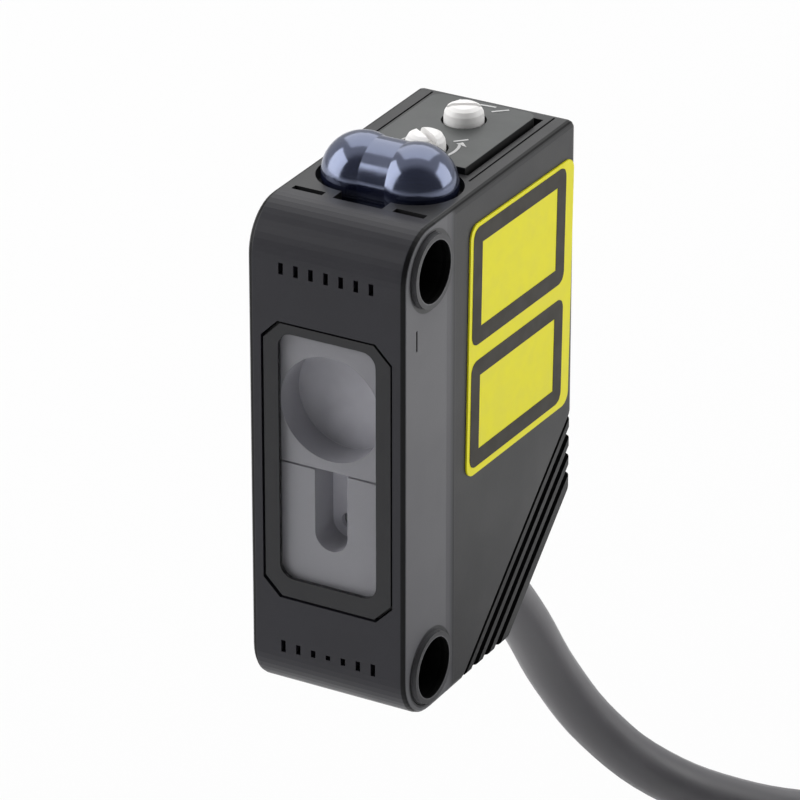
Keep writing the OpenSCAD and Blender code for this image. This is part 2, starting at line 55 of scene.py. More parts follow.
# Where the sensing face, the surface that the coil lies on and the axes of the fixing holes are
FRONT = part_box("front_cover")[0].y
FLOOR_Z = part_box("coil_tie")[0].z
HOLE_Z = (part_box("upper_insert")[0].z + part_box("upper_insert")[1].z) / 2
# Radii of the bore and of the raised rim of a fixing hole, and how far out the rim's face is, in metres
BORE_RADIUS = 0.00189
RIM_RADIUS = 0.0022
RIM_FACE = 0.00536
# The rounded long edges of the housing, where a near-black band is painted as shade and dark reflection,
# from the middle of the width
EDGE_LOW = 0.00486
EDGE_HIGH = 0.00506
# A point on the upper edge of the ribbed rear, and the direction in which the ribs follow
RIB_START = (0, 0.004, -0.0155)
RIB_DIRECTION = (0, 0.6644, -0.7474)
LABEL_TURN = math.radians(-1.5)

# Route of the cable centre from inside the housing to the coil, in millimetres
CABLE_ROUTE = [
    (0, 12.16, -10.5), (0, 15.6, -14.37), (0, 18.6, -17.74), (0.1, 21.4, -21.3),
    (0.6, 24.6, -26.4), (2.2, 27.6, -31.3), (4.9, 30.9, -35.5), (8.6, 34.6, -38.5),
    (12.6, 38.2, -40.2), (17, 41.5, -40.8), (22, 44.5, -40.9), (27.6, 47.1, -40.9),
    (33.7, 48.6, -40.8), (40.5, 49.1, -40.6),
]
# Route of the jacketed end that leaves the coil
TAIL_ROUTE = [
    (54.5, 48.8, -37.3), (61, 47.6, -37.5), (66.6, 44.9, -38.3),
    (71, 40.4, -39.6), (73.8, 35.2, -40.6), (75, 30, -40.9),
]
# Routes of the three cores from the end of the jacket
CORE_ROUTES = {
    "brown": [
        (74.4, 29.8, -41.25), (74.4, 24.4, -41.8), (73.9, 18.8, -41.9), (72.6, 13.3, -41.9),
        (70.3, 8.3, -41.9), (67.2, 4, -41.9), (63.6, 0.8, -41.9),
    ],
    "blue": [
        (75.6, 30, -41.25), (75.9, 24.2, -41.8), (75.7, 18.4, -41.9), (74.6, 12.7, -41.9),
        (72.5, 7.4, -41.9), (69.7, 2.8, -41.9), (66.6, -0.6, -41.9),
    ],
    "black": [
        (75, 29.9, -40.1), (76.8, 24.7, -40.3), (77.7, 19.2, -41.6), (77.5, 13.4, -41.9),
        (75.9, 7.9, -41.9), (73.6, 2.8, -41.9), (71, -1.6, -41.9),
    ],
}
# Where each step to the next column or layer of the coil starts, in turns, and what it leads to
COIL_STEPS = [
    (0.88, 1, 0), (1.88, 2, 0), (2.88, 3, 0), (3.76, 3, 1), (4.76, 3, 2), (5.76, 3, 3),
    (6.64, 2, 3), (7.52, 2, 2), (8.52, 2, 1), (9.4, 1, 1), (10.28, 1, 2), (11.28, 1, 3),
    (12.16, 0, 3), (13.04, 0, 2), (14.04, 0, 1),
]
COIL_STEP_TURNS = 0.12
COIL_TURNS = 15

# Colours of the three cores, and the near-black of painted shade on the long edges and the panel's sides
CORE_TINTS = {"brown": (0.11, 0.035, 0.015), "blue": (0.02, 0.07, 0.35), "black": (0.02, 0.02, 0.02)}
SHADE_BLACK = (0.003, 0.003, 0.003)


class SensorColours(bpy.types.PropertyGroup):
    """Colours of the sensor's own surfaces"""

    housing: FloatVectorProperty(
        name="Housing", description="Moulded housing", subtype="COLOR", size=3,
        min=0, max=1, default=(0.021, 0.021, 0.0225),
    )
    cover: FloatVectorProperty(
        name="Front cover", description="Cover over the sensing face", subtype="COLOR", size=3,
        min=0, max=1, default=(0.0135, 0.0132, 0.018),
    )
    panel: FloatVectorProperty(
        name="Control panel", description="Raised panel round the heads", subtype="COLOR", size=3,
        min=0, max=1, default=(0.045, 0.049, 0.048),
    )
    knob: FloatVectorProperty(
        name="Control heads", description="Both turning heads", subtype="COLOR", size=3,
        min=0, max=1, default=(0.8, 0.79, 0.78),
    )
    label: FloatVectorProperty(
        name="Label", description="Yellow film of the label", subtype="COLOR", size=3,
        min=0, max=1, default=(0.78, 0.72, 0.008),
    )
    ink: FloatVectorProperty(
        name="Label ink", description="Dark printed frames", subtype="COLOR", size=3,
        min=0, max=1, default=(0.022, 0.018, 0.012),
    )
    plates: FloatVectorProperty(
        name="Light plates", description="Plates behind the window", subtype="COLOR", size=3,
        min=0, max=1, default=(0.35, 0.348, 0.38),
    )
    cable: FloatVectorProperty(
        name="Cable", description="Vinyl jacket", subtype="COLOR", size=3,
        min=0, max=1, default=(0.085, 0.083, 0.09),
    )
    dome: FloatVectorProperty(
        name="Indicator dome", description="Smoked clear plastic", subtype="COLOR", size=3,
        min=0, max=1, default=(0.008, 0.01, 0.026),
    )


class SensorSizes(bpy.types.PropertyGroup):
    """Sizes of what is printed and wound"""

    cable_diameter: FloatProperty(
        name="Cable diameter", description="Outside of the jacket", default=0.0032,
        min=0.003, max=0.006, unit="LENGTH",
    )
    core_diameter: FloatProperty(
        name="Core diameter", description="Outside of one core", default=0.0012,
        min=0.0008, max=0.0016, unit="LENGTH",
    )
    cable_length: FloatProperty(
        name="Cable length", description="Whole length of the jacket", default=2.0,
        min=0.5, max=5, unit="LENGTH",
    )
    coil_radius: FloatProperty(
        name="Coil radius", description="Radius at the middle of the turns", default=0.0192,
        min=0.015, max=0.03, unit="LENGTH",
    )
    bare_length: FloatProperty(
        name="Bare length", description="Tinned end of each core", default=0.0045,
        min=0.002, max=0.008, unit="LENGTH",
    )
    ink_height: FloatProperty(
        name="Ink height", description="Thickness of printed ink", default=0.00002,
        min=0.00001, max=0.0001, unit="LENGTH",
    )


class SensorStage(bpy.types.PropertyGroup):
    """Light and camera"""

    world: FloatProperty(
        name="Surroundings", description="Strength of the even light behind and at the left",
        default=0.75, min=0, max=3,
    )
    dim: FloatProperty(
        name="Dim side", description="Strength of the even light before and at the right",
        default=0.13, min=0, max=3,
    )
    side_light: FloatProperty(
        name="Side light", description="Power of the lamp at the right and behind", default=0.95,
        min=0, max=10, unit="POWER",
    )
    top_light: FloatProperty(
        name="Top light", description="Power of the lamp above and behind", default=2.2,
        min=0, max=10, unit="POWER",
    )
    left_light: FloatProperty(
        name="Left light", description="Power of the lamp at the left", default=2.4,
        min=0, max=10, unit="POWER",
    )
    lens: FloatProperty(
        name="Lens", description="Focal length of the camera", default=253.07, min=50, max=400,
        unit="CAMERA",
    )
    turns: IntProperty(
        name="Points per turn", description="Curve points in one turn of the coil", default=16,
        min=12, max=32,
    )


def colours():
    """The colours that the panel shows."""
    return bpy.context.scene.sensor_colours


def sizes():
    """The sizes that the panel shows."""
    return bpy.context.scene.sensor_sizes


def stage_settings():
    """The light and camera settings that the panel shows."""
    return bpy.context.scene.sensor_stage


# Materials


def shade(colour, factor):
    """A colour made lighter or darker by a factor."""
    return tuple(min(1.0, c * factor) for c in colour)


class Finish:
    """A node material with one principled shader, and the steps that paint it."""

    def __init__(self, name):
        self.material = bpy.data.materials.new(name)
        self.material.use_nodes = True
        self.nodes = self.material.node_tree.nodes
        self.links = self.material.node_tree.links
        self.shader = self.nodes["Principled BSDF"]
        self.place = self.nodes.new("ShaderNodeTexCoord").outputs["Object"]

    def feed(self, value, socket):
        """Links a socket to a number, a colour or another socket."""
        if isinstance(value, bpy.types.NodeSocket):
            self.links.new(value, socket)
        elif isinstance(value, (int, float)):
            socket.default_value = value
        else:
            socket.default_value = (*value, 1) if len(socket.default_value) == 4 else value

    def set(self, **values):
        """Feeds inputs of the shader, named with underscores."""
        for name, value in values.items():
            self.feed(value, self.shader.inputs[name.replace("_", " ")])

    def calc(self, operation, *values):
        """Result of a sum on numbers or sockets."""
        node = self.nodes.new("ShaderNodeMath")
        node.operation = operation
        for value, socket in zip(values, node.inputs):
            self.feed(value, socket)
        return node.outputs["Value"]

    def along(self, direction, point=(0, 0, 0)):
        """Distance of the surface past a point, along a direction."""
        shift = self.nodes.new("ShaderNodeVectorMath")
        shift.operation = "SUBTRACT"
        self.links.new(self.place, shift.inputs[0])
        shift.inputs[1].default_value = point
        dot = self.nodes.new("ShaderNodeVectorMath")
        dot.operation = "DOT_PRODUCT"
        self.links.new(shift.outputs["Vector"], dot.inputs[0])
        dot.inputs[1].default_value = direction
        return dot.outputs["Value"]

    def aside(self):
        """Distance from the middle of the width."""
        return self.calc("ABSOLUTE", self.along((1, 0, 0)))

    def from_hole(self):
        """Distance from the axis of the nearest fixing hole."""
        up = self.calc("SUBTRACT", self.calc("ABSOLUTE", self.along((0, 0, 1))), HOLE_Z)
        back = self.along((0, 1, 0))
        return self.calc("SQRT", self.calc(
            "ADD", self.calc("MULTIPLY", up, up), self.calc("MULTIPLY", back, back)))

    def rise(self, value, start, end, low=0.0, high=1.0):
        """Number that goes smoothly from low at start to high at end."""
        node = self.nodes.new("ShaderNodeMapRange")
        node.interpolation_type = "SMOOTHSTEP"
        for value_in, name in (
            (value, "Value"), (start, "From Min"), (end, "From Max"), (low, "To Min"), (high, "To Max"),
        ):
            self.feed(value_in, node.inputs[name])
        return node.outputs["Result"]

    def past(self, value, limit, soft):
        """Mask that is 1 above a limit and fades within soft of it."""
        return self.rise(value, limit - soft, limit + soft)

    def short_of(self, value, limit, soft):
        """Mask that is 1 below a limit and fades within soft of it."""
        return self.rise(value, limit - soft, limit + soft, 1.0, 0.0)

    def band(self, value, low, high, soft):
        """Mask that is 1 from low to high and fades over soft at both ends."""
        return self.both(self.rise(value, low - soft, low), self.rise(value, high, high + soft, 1.0, 0.0))

    def both(self, mask, other):
        """Mask of what two masks share."""
        return self.calc("MULTIPLY", mask, other)

    def noise(self, grain, detail=3.0):
        """Noise with spots of the size grain, in metres."""
        node = self.nodes.new("ShaderNodeTexNoise")
        node.inputs["Scale"].default_value = 1.0 / grain
        node.inputs["Detail"].default_value = detail
        self.links.new(self.place, node.inputs["Vector"])
        return node.outputs["Fac"]

    def over(self, mask, below, above):
        """Colour that goes from below to above where the mask is 1."""
        node = self.nodes.new("ShaderNodeMix")
        node.data_type = "RGBA"
        self.feed(mask, node.inputs[0])
        self.feed(below, node.inputs[6])
        self.feed(above, node.inputs[7])
        return node.outputs[2]

    def vary(self, value, colour, amount):
        """Colour that is amount darker to amount lighter with a noise value."""
        return self.over(self.rise(value, 0.3, 0.7), shade(colour, 1 - amount), shade(colour, 1 + amount))

    def grain(self, value, distance):
        """Bumps of the height distance, in metres."""
        node = self.nodes.new("ShaderNodeBump")
        node.inputs["Distance"].default_value = distance
        self.links.new(value, node.inputs["Height"])
        self.links.new(node.outputs["Normal"], self.shader.inputs["Normal"])


def moulded(name, colour, roughness=0.42, grain=0.00016, depth=0.000003, vary=0.1):
    """Moulded plastic with a fine spark-eroded texture and slight variation."""
    finish = Finish(name)
    broad = finish.noise(0.004, 4.0)
    finish.set(
        Base_Color=finish.vary(broad, colour, vary),
        Roughness=finish.rise(broad, 0.3, 0.7, roughness - 0.04, roughness + 0.04),
    )
    finish.grain(finish.noise(grain), depth)
    return finish


def smooth(name, colour, roughness=0.3, vary=0.05):
    """Smooth plastic with faint flow marks."""
    finish = Finish(name)
    broad = finish.noise(0.0012)
    finish.set(
        Base_Color=finish.vary(broad, colour, vary),
        Roughness=finish.rise(broad, 0.3, 0.7, roughness - 0.04, roughness + 0.04),
    )
    return finish


def clear(name, colour, alpha, roughness=0.06):
    """Tinted clear plastic."""
    finish = smooth(name, colour, roughness)
    finish.set(Alpha=alpha)
    return finish


def metal(name, colour, roughness=0.35, grain=0.00012):
    """Metal with fine machining marks."""
    finish = Finish(name)
    fine = finish.noise(grain)
    finish.set(
        Base_Color=finish.vary(fine, colour, 0.12), Metallic=1.0,
        Roughness=finish.rise(fine, 0.3, 0.7, roughness - 0.08, roughness + 0.08),
    )
    finish.grain(fine, 0.000003)
    return finish


def rubber(name, colour):
    """Soft dull rubber."""
    return moulded(name, colour, 0.6, 0.0003, 0.000005, 0.2)


def vinyl(name, colour):
    """Cable vinyl with a faint satin and slow waves."""
    return moulded(name, colour, 0.47, 0.0004, 0.000006, 0.06)


def circuit_board(name):
    """Green solder mask with darker copper areas below it."""
    finish = Finish(name)
    areas = finish.noise(0.0016, 0.5)
    copper = finish.past(areas, 0.5, 0.02)
    finish.set(Base_Color=finish.over(copper, (0.01, 0.09, 0.035), (0.02, 0.16, 0.06)), Roughness=0.3)
    finish.grain(areas, 0.00001)
    return finish


def hole_rims(finish, colour, face):
    """Paints the rims of the fixing holes: a lighter face with a thin painted highlight on its inner
    edge, a black bore as painted shade and a dark trough of painted shade round the rim.
    """
    reach = finish.from_hole()
    wide = finish.aside()
    ring = finish.both(
        finish.short_of(reach, RIM_RADIUS, 0.00001), finish.past(wide, RIM_FACE, 0.00002))
    # Painted light: the rim face takes a lighter colour than the housing round it
    colour = finish.over(ring, colour, face)
    # Painted highlight along the inner edge of the rim
    edge = finish.both(ring, finish.short_of(reach, BORE_RADIUS + 0.00003, 0.00003))
    colour = finish.over(edge, colour, shade(face, 2.4))
    # Painted shade: the bore is painted black
    bore = finish.both(
        finish.short_of(reach, BORE_RADIUS, 0.00001), finish.short_of(wide, RIM_FACE, 0.00002))
    colour = finish.over(bore, colour, (0.002, 0.002, 0.002))
    # Painted shade: a dark trough round the rim
    trough = finish.band(reach, RIM_RADIUS + 0.00004, RIM_RADIUS + 0.00024, 0.00008)
    return finish.over(finish.calc("MULTIPLY", trough, 0.7), colour, (0.004, 0.004, 0.004))


def rims_and_edges(finish, painted):
    """Paints the rims of the fixing holes and, over a housing colour, a near-black band of painted shade
    and dark reflection along the long edges, where the specular level is also lower.
    """
    # The rims' face is painted lighter than the housing, as painted light
    painted = hole_rims(finish, painted, shade(colours().housing, 2.2))
    # Painted shade: a near-black band along the rounded long edges, for the shade and dark reflection
    # they take
    edge = finish.band(finish.aside(), EDGE_LOW, EDGE_HIGH, 0.00004)
    painted = finish.over(finish.calc("MULTIPLY", edge, 0.85), painted, SHADE_BLACK)
    sheen = finish.calc("SUBTRACT", 0.28, finish.calc("MULTIPLY", edge, 0.15))
    finish.set(Base_Color=painted, Specular_IOR_Level=sheen)
    return finish


def housing_finish():
    """Housing plastic, with painted light on the strip beside the sensing face and painted shade on the
    long edges and over the ribbed rear.
    """
    colour = colours().housing
    finish = moulded("housing plastic", colour, 0.4)
    # Painted light: the strip beside the sensing face is painted much lighter
    painted_light_strip = finish.both(
        finish.short_of(finish.along((0, 1, 0)), 0.0025, 0.0004),
        finish.past(finish.aside(), 0.004925, 0.000125))
    # Painted shade: the ribbed rear is painted darker, for the shade in its grooves
    ribs = finish.past(finish.along(RIB_DIRECTION, RIB_START), 0.0, 0.0001)
    painted = finish.vary(finish.noise(0.004, 4.0), colour, 0.08)
    painted = finish.over(painted_light_strip, painted, shade(colour, 5.2))
    painted = finish.over(ribs, painted, shade(colour, 0.8))
    return rims_and_edges(finish, painted)


def cover_finish():
    """Cover plastic, with painted light on its side strip, a near-black band of painted shade on the long
    edges, and the painted light and shade of the hole rims.
    """
    colour = colours().cover
    finish = moulded("cover plastic", colour, 0.4)
    # Painted light: the cover's side strip is painted as light as the housing's strip
    side = finish.past(finish.aside(), 0.005085, 0.000035)
    painted = finish.vary(finish.noise(0.004, 4.0), colour, 0.08)
    painted = finish.over(side, painted, shade(colours().housing, 5.2))
    return rims_and_edges(finish, painted)


def plate_finish():
    """Satin plate, painted a little lighter on the walls of its openings and much lighter on the floor of
    its slot, as painted light in these recesses.
    """
    colour = colours().plates
    finish = moulded("plate plastic", colour, 0.5, 0.0003, 0.000001, 0.04)
    depth = finish.along((0, 1, 0), (0, FRONT, 0))
    # Painted light: the walls of the openings are painted a little lighter
    painted = finish.over(finish.past(depth, 0.00053, 0.00003), colour, shade(colour, 1.1))
    # Painted light: the slot's floor is painted much lighter, where little light reaches
    painted = finish.over(finish.past(depth, 0.00257, 0.00002), painted, shade(colour, 2.2))
    finish.set(Base_Color=painted)
    return finish


def panel_finish():
    """Satin panel whose sides are painted near-black, as painted shade in the groove round it."""
    colour = colours().panel
    finish = moulded("panel plastic", colour, 0.42, 0.0002, 0.000002, 0.06)
    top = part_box("control_panel")[1].z
    # Painted shade: the panel's sides below its top are painted near-black
    sides = finish.short_of(finish.along((0, 0, 1)), top - 0.000055, 0.000025)
    painted = finish.over(sides, finish.vary(finish.noise(0.003), colour, 0.06), SHADE_BLACK)
    finish.set(Base_Color=painted, Specular_IOR_Level=0.4)
    return finish


def dome_finish():
    """Smoked blue dome with a greyer skirt."""
    colour = colours().dome
    finish = clear("dome plastic", colour, 0.92, 0.16)
    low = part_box("indicator_window")[0].z
    skirt = finish.short_of(finish.along((0, 0, 1)), low + 0.001, 0.0004)
    finish.set(
        Base_Color=finish.over(skirt, colour, (0.02, 0.02, 0.026)), IOR=2.6,
        Specular_Tint=(0.64, 0.72, 1.0),
    )
    return finish


def give(finish, *names):
    """Gives CAD nodes their finish."""
    for name in names:
        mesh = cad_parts[name].data
        mesh.materials.clear()
        mesh.materials.append(finish.material)


# Modelling


def clear_selection():
    """Deselects all objects."""
    bpy.ops.object.select_all(action="DESELECT")


def pick(piece):
    """Makes a piece the only one selected."""
    clear_selection()
    piece.select_set(True)
    bpy.context.view_layer.objects.active = piece


def name_piece(name):
    """Names the piece that was just added."""
    piece = bpy.context.object
    piece.name = name
    piece.data.name = name
    return piece


def finish_piece(piece, finish, body, place=None):
    """Puts a piece in its place, in its mesh, and lets it ride on a body."""
    pick(piece)
    bpy.ops.object.transform_apply(location=True, rotation=True, scale=True)
    if place is not None:
        piece.data.transform(place)
    piece.data.materials.clear()
    piece.data.materials.append(finish.material)
    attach(piece, body)
    clear_selection()
    return piece


def flat_shape(name, width, height, at, frame_width=0.0, corner=0.0):
    """A printed rectangle or frame on the plane of X and Y, with round outer corners."""
    clear_selection()
    bpy.ops.mesh.primitive_plane_add(size=1, location=(*at, 0))
    piece = name_piece(name)
    piece.scale = (width, height, 1)
    bpy.ops.object.transform_apply(location=True, rotation=False, scale=True)
    bpy.ops.object.mode_set(mode="EDIT")
    if frame_width:
        bpy.ops.mesh.inset(thickness=frame_width)
        bpy.ops.mesh.delete(type="FACE")
        bpy.ops.mesh.select_all(action="DESELECT")
        bpy.ops.object.mode_set(mode="OBJECT")
        for vertex in piece.data.vertices:
            vertex.select = abs(vertex.co.x - at[0]) > width / 2 - 0.00001
        bpy.ops.object.mode_set(mode="EDIT")
        bpy.ops.mesh.select_mode(type="VERT")
    if corner:
        bpy.ops.mesh.bevel(affect="VERTICES", offset=corner, segments=6)
    bpy.ops.mesh.select_all(action="SELECT")
    raise_print()
    return piece


def raise_print():
    """Gives the selected flat faces the thickness of ink, in edit mode."""
    bpy.ops.mesh.extrude_region_move(TRANSFORM_OT_translate={"value": (0, 0, sizes().ink_height)})
    bpy.ops.mesh.select_all(action="SELECT")
    bpy.ops.mesh.normals_make_consistent(inside=False)
    bpy.ops.object.mode_set(mode="OBJECT")


def swept_stroke(name, centre, radius, width, start, sweep):
    """A printed arc on the plane of X and Y, spun from a short cross line."""
    clear_selection()
    bpy.ops.mesh.primitive_plane_add(size=1, location=(0, 0, 0))
    piece = name_piece(name)
    piece.scale = (width, width, 1)
    piece.location = (radius, 0, 0)
    bpy.ops.object.transform_apply(location=True, rotation=False, scale=True)
    bpy.ops.object.mode_set(mode="EDIT")
    bpy.ops.mesh.select_mode(type="VERT")
    bpy.ops.mesh.select_all(action="DESELECT")
    bpy.ops.object.mode_set(mode="OBJECT")
    for vertex in piece.data.vertices:
        vertex.select = vertex.co.y > 0
    bpy.ops.object.mode_set(mode="EDIT")
    bpy.ops.mesh.delete(type="VERT")
    bpy.ops.mesh.select_all(action="SELECT")
    bpy.ops.mesh.spin(steps=14, angle=-math.radians(sweep), center=(0, 0, 0), axis=(0, 0, 1))
    bpy.ops.mesh.select_all(action="SELECT")
    raise_print()
    turn = Matrix.Rotation(math.radians(start), 4, "Z")
    piece.data.transform(Matrix.Translation((*centre, 0)) @ turn)
    return piece


def joined(name, *pieces):
    """Joins pieces into the first one."""
    clear_selection()
    for piece in pieces:
        piece.select_set(True)
    bpy.context.view_layer.objects.active = pieces[0]
    bpy.ops.object.join()
    return name_piece(name)


def stroke(name, start, end, width):
    """A straight printed stroke on the plane of X and Y."""
    start, end = Vector(start), Vector(end)
    run = end - start
    piece = flat_shape(name, run.length, width, (0, 0))
    turn = Matrix.Rotation(math.atan2(run.y, run.x), 4, "Z")
    piece.data.transform(Matrix.Translation((*((start + end) / 2), 0)) @ turn)
    return piece


def arrow_head(name, corners):
    """A printed triangle on the plane of X and Y."""
    clear_selection()
    bpy.ops.mesh.primitive_circle_add(vertices=3, radius=1, fill_type="NGON")
    piece = name_piece(name)
    for vertex, corner in zip(piece.data.vertices, corners):
        vertex.co = (*corner, 0)
    bpy.ops.object.mode_set(mode="EDIT")
    bpy.ops.mesh.select_all(action="SELECT")
    raise_print()
    return piece


def round_curve(name, points, diameter, finish, resolution=6, sides=3):
    """A round cord on one smooth open spline through points, in metres."""
    data = bpy.data.curves.new(name, "CURVE")
    data.dimensions = "3D"
    data.resolution_u = resolution
    data.render_resolution_u = resolution
    data.bevel_depth = diameter / 2
    data.bevel_resolution = sides
    data.use_fill_caps = True
    spline = data.splines.new("BEZIER")
    spline.bezier_points.add(len(points) - 1)
    for knot, point in zip(spline.bezier_points, points):
        knot.co = point
        knot.handle_left_type = "AUTO"
        knot.handle_right_type = "AUTO"
    piece = bpy.data.objects.new(name, data)
    bpy.context.scene.collection.objects.link(piece)
    data.materials.append(finish.material)
    return piece


def metres(route):
    """A route in millimetres as points in metres."""
    return [Vector(p) * MM for p in route]


def coil_point(turn, centre, radius, pitch, floor):
    """Centre of the cable after that many turns from the start of the coil."""
    column, layer = 0.0, 0.0
    for start, to_column, to_layer in COIL_STEPS:
        share = min(max((turn - start) / COIL_STEP_TURNS, 0.0), 1.0)
        share = share * share * (3 - 2 * share)
        column += (to_column - column) * share
        layer += (to_layer - layer) * share
    angle = math.radians(90) - 2 * math.pi * turn
    r = radius + pitch * (1.5 - column)
    return Vector((
        centre.x + r * math.cos(angle), centre.y + r * math.sin(angle),
        floor + pitch * (layer + 0.5),
    ))


def tinned_tip(name, points, length, diameter, finish):
    """Bare tinned end of a core: a cylinder with a bevelled end along the last part of its route."""
    end, before = points[-1], points[-2]
    heading = (end - before).normalized()
    clear_selection()
    bpy.ops.mesh.primitive_cylinder_add(
        vertices=12, radius=diameter / 2, depth=length, location=(0, 0, 0))
    piece = name_piece(name)
    bpy.ops.object.mode_set(mode="EDIT")
    bpy.ops.mesh.select_all(action="SELECT")
    bpy.ops.mesh.bevel(affect="EDGES", offset=diameter * 0.14, segments=1)
    bpy.ops.object.mode_set(mode="OBJECT")
    bpy.ops.object.shade_smooth_by_angle(angle=math.radians(40))
    turn = heading.to_track_quat("Z", "Y").to_matrix().to_4x4()
    place = Matrix.Translation(end - heading * length / 2) @ turn
    return finish_piece(piece, finish, "housing", place)


class SENSOR_OT_camera(bpy.types.Operator):
    """Sets the camera at the photograph's angle"""

    bl_idname = "sensor.camera"
    bl_label = "Camera"

    def execute(self, context):
        camera_at = Vector((144.003, -251.338, 145.981)) * MM
        target = Vector((-0.676, 6.785, 0.290)) * MM
        data = bpy.data.cameras.new("camera")
        data.sensor_width = 36
        data.lens = stage_settings().lens
        data.clip_start = 0.01
        data.clip_end = 20
        camera = bpy.data.objects.new("camera", data)
        context.scene.collection.objects.link(camera)
        camera.location = camera_at
        camera.rotation_euler = (target - camera_at).to_track_quat("-Z", "Y").to_euler()
        context.scene.camera = camera
        return {"FINISHED"}


class SENSOR_OT_cable(bpy.types.Operator):
    """Lays the cable, its coil and the three cores with their bare ends"""

    bl_idname = "sensor.cable"
    bl_label = "Cable"

    def execute(self, context):
        size = sizes()
        ring_low, ring_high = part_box("cable_coil")
        centre = (ring_low + ring_high) / 2
        steps = stage_settings().turns
        coil = [
            coil_point(k / steps, centre, size.coil_radius, size.cable_diameter, ring_low.z)
            for k in range(COIL_TURNS * steps + 1)
        ]
        points = metres(CABLE_ROUTE) + coil + metres(TAIL_ROUTE)
        jacket = vinyl("cable vinyl", colours().cable)
        cable = round_curve(
            "cable_jacket", points, size.cable_diameter, jacket, resolution=5, sides=5)
        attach(cable, "housing")
        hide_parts("cable", "cable_coil", "cable_tail")
        tin = metal("tinned copper", (0.7, 0.69, 0.67), 0.3)
        for colour, route in CORE_ROUTES.items():
            self.lay_core(colour, metres(route), tin)
        return {"FINISHED"}

    def lay_core(self, colour, points, tin):
        """Lays one core from the end of the jacket, with its tinned end."""
        size = sizes()
        tip = tinned_tip(f"core_{colour}_tip", points, size.bare_length, size.core_diameter * 0.7, tin)
        heading = (points[-1] - points[-2]).normalized()
        points = [*points[:-1], points[-1] - heading * (size.bare_length - 0.0006)]
        skin = smooth(f"{colour} core vinyl", CORE_TINTS[colour], 0.4)
        core = round_curve(f"core_{colour}_wire", points, size.core_diameter, skin)
        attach(core, "housing")
        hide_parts(f"core_{colour}")


class SENSOR_OT_housing(bpy.types.Operator):
    """Finishes the housing, its cover and the fixing sleeves"""

    bl_idname = "sensor.housing"
    bl_label = "Housing"

    def execute(self, context):
        give(housing_finish(), "case")
        give(cover_finish(), "front_cover")
        give(metal("blackened steel", (0.05, 0.05, 0.052), 0.45), "upper_insert", "lower_insert")
        give(rubber("grommet rubber", (0.02, 0.02, 0.02)), "cable_grommet")
        give(rubber("tie strap", (0.015, 0.015, 0.016)), "coil_tie")
        return {"FINISHED"}


class SENSOR_OT_window(bpy.types.Operator):
    """Finishes the window and the plates behind it"""

    bl_idname = "sensor.window"
    bl_label = "Window"

    def execute(self, context):
        give(clear("window plastic", (0.02, 0.02, 0.022), 0.15, 0.1), "front_window")
        border = smooth("frame plastic", (0.009, 0.009, 0.011), 0.5)
        border.set(Specular_IOR_Level=0.35)
        give(border, "window_frame")
        give(smooth("window seal rubber", (0.004, 0.004, 0.004), 0.7), "window_seal")
        give(plate_finish(), "receiver_plate", "emitter_plate")
        # Painted light: the receiver lens is painted lighter than the plates, at the floor of its deep
        # opening
        give(smooth("receiver lens plastic", shade(colours().plates, 1.65), 0.5), "receiver_lens")
        give(clear("lens plastic", (0.6, 0.62, 0.66), 0.5), "emitter_lens")
        give(moulded("block plastic", (0.01, 0.01, 0.01), 0.5), "optical_block")
        return {"FINISHED"}


class SENSOR_OT_controls(bpy.types.Operator):
    """Finishes the dome, the control panel with its marks and the turning heads"""

    bl_idname = "sensor.controls"
    bl_label = "Top controls"

    def execute(self, context):
        give(dome_finish(), "indicator_window")
        give(panel_finish(), "control_panel")
        give(smooth("head plastic", colours().knob, 0.4, 0.02), "adjuster_knob", "selector_knob")
        give(rubber("ring rubber", (0.01, 0.01, 0.01)), "adjuster_oring", "selector_oring")
        give(smooth("green lamp", (0.05, 0.45, 0.1), 0.2), "stability_led")
        give(smooth("amber lamp", (0.8, 0.25, 0.03), 0.2), "operation_led")
        self.print_marks()
        return {"FINISHED"}

    def print_marks(self):
        """Turning marks beside the heads, as plain arcs, ticks and an arrow."""
        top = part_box("control_panel")[1].z
        marks = [
            swept_stroke("adjuster_arc", (-0.0007, 0.0089), 0.00245, 0.00018, -17, 42),
            arrow_head("adjuster_arrow", [(0.00205, 0.00975), (0.00155, 0.01025), (0.0013, 0.00988)]),
            stroke("adjuster_tick", (0.00101, 0.01011), (0.00165, 0.01074), 0.00016),
            swept_stroke("adjuster_arc_back", (0, 0.00857), 0.00178, 0.00012, 120, 50),
            stroke("selector_mark", (0.00086, 0.01499), (0.00164, 0.01571), 0.00016),
            stroke("selector_bar", (-0.00021, 0.01561), (0.00078, 0.01569), 0.00016),
            stroke("selector_mark_left", (-0.00164, 0.01571), (-0.00096, 0.01503), 0.00014),
        ]
        prints = joined("panel_marks", *marks)
        ink = smooth("panel ink", (0.5, 0.5, 0.5), 0.5)
        finish_piece(prints, ink, "housing", Matrix.Translation((0, 0, top)))


class SENSOR_OT_label(bpy.types.Operator):
    """Prints two plain dark frames on the label"""

    bl_idname = "sensor.label"
    bl_label = "Label"

    def execute(self, context):
        film = smooth("label film", colours().label, 0.45, 0.02)
        film.set(Specular_IOR_Level=0.25)
        give(film, "label")
        low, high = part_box("label")
        middle = (low + high) / 2
        turn = Matrix.Rotation(LABEL_TURN, 4, "X")
        upright = Matrix(((0, 0, 1, 0), (1, 0, 0, 0), (0, 1, 0, 0), (0, 0, 0, 1)))
        place = Matrix.Translation((high.x, middle.y, middle.z)) @ turn @ upright
        upper = flat_shape(
            "label_frame_upper", 0.0113, 0.0074, (-0.00033, 0.004), frame_width=0.00107, corner=0.0007)
        lower = flat_shape(
            "label_frame_lower", 0.0113, 0.0068, (-0.00033, -0.0041), frame_width=0.00105, corner=0.0007)
        prints = joined("label_frames", upper, lower)
        ink = smooth("label ink", colours().ink, 0.5, 0.04)
        ink.set(Specular_IOR_Level=0.25)
        finish_piece(prints, ink, "housing", place)
        return {"FINISHED"}


